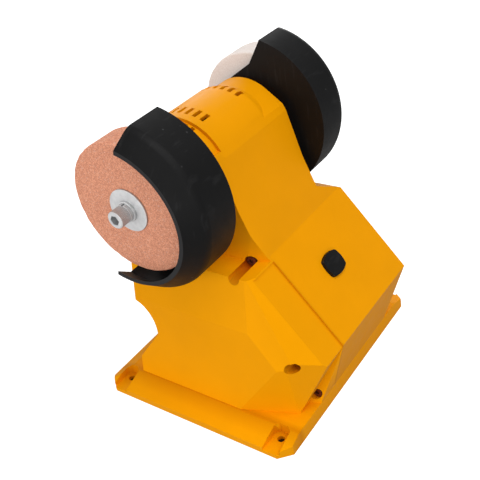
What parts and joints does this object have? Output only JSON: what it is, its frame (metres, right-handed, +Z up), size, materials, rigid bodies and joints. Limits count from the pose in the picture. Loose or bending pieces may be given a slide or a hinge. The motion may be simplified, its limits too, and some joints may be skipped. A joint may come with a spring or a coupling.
{
  "type": "cordless bench grinder",
  "caption": "Cordless tabletop bench grinder: angled body on a flanged base, motor barrel with a guarded grinding wheel at each end, push button and slide-out battery.",
  "frame": {"origin": "centre of the bench holes, on the base's underside", "axes": "+Z up, +X along the wheel axis towards the pink wheel, +Y to the back; the user stands at -Y"},
  "size_m": [0.1602, 0.1433, 0.1891],
  "materials": {
    "orange_plastic": "satin",
    "black_plastic": "fine grain",
    "pink_abrasive": "coarse grain",
    "white_abrasive": "coarse grain",
    "zinc_steel": "zinc plated",
    "black_steel": "blackened",
    "motor_steel": "rolled",
    "ferrite": "matt",
    "brass": "stamped",
    "copper": "enamelled",
    "dark_plastic": "moulded",
    "board_green": "gloss",
    "aluminium_parts": "extruded",
    "cell_sleeve": "shrink sleeve",
    "red_wire": "matt",
    "black_wire": "matt"
  },
  "bodies": {
    "stand": {"base_plate": "orange_plastic", "left_housing": "orange_plastic", "right_housing": "orange_plastic", "left_guard": "black_plastic", "right_guard": "black_plastic", "motor_can": "motor_steel", "left_end_bell": "dark_plastic", "right_end_bell": "dark_plastic", "field_magnets": "ferrite", "brush_holders": "brass", "carbon_brushes": "ferrite", "bearing_outer_rings": "zinc_steel", "push_switch": "dark_plastic", "control_board": "board_green", "board_parts": "aluminium_parts", "battery_cradle": "dark_plastic", "terminal_block": "dark_plastic", "contact_blades": "brass", "housing_screws": "black_steel", "guard_screws": "zinc_steel", "base_screws": "zinc_steel", "cradle_screws": "zinc_steel", "battery_leads": "red_wire", "motor_leads": "black_wire"},
    "rotor": {"bearing_inner_rings": "zinc_steel", "bearing_balls": "zinc_steel", "motor_shaft": "zinc_steel", "wheel_hubs": "zinc_steel", "armature_core": "motor_steel", "armature_windings": "copper", "commutator": "copper", "cooling_fan": "dark_plastic", "left_wheel": "white_abrasive", "right_wheel": "pink_abrasive", "clamp_washers": "zinc_steel", "spacer_washers": "zinc_steel", "lock_washers": "zinc_steel", "wheel_bolts": "zinc_steel"},
    "button": {"power_button": "black_plastic"},
    "battery": {"battery_case": "dark_plastic", "battery_lid": "dark_plastic", "battery_cells": "cell_sleeve", "cell_straps": "zinc_steel", "battery_board": "board_green"},
    "release": {"release_button": "black_plastic"}
  },
  "joints": [
    {"name": "rotor_spin", "type": "hinge", "parent": "stand", "child": "rotor", "pos_m": [0, -0.0117, 0.1417], "axis": [1, 0, 0], "continuous": true},
    {"name": "button_press", "type": "slide", "parent": "stand", "child": "button", "axis": [0, -0.7727, -0.6347], "range_m": [0, 0.0016], "stiffness_N_per_m": 600},
    {"name": "battery_slide", "type": "slide", "parent": "stand", "child": "battery", "axis": [0, -1, 0], "range_m": [0, 0.11]},
    {"name": "release_press", "type": "slide", "parent": "battery", "child": "release", "axis": [0, 0.7821, -0.6232], "range_m": [0, 0.0025], "stiffness_N_per_m": 700}
  ]
}
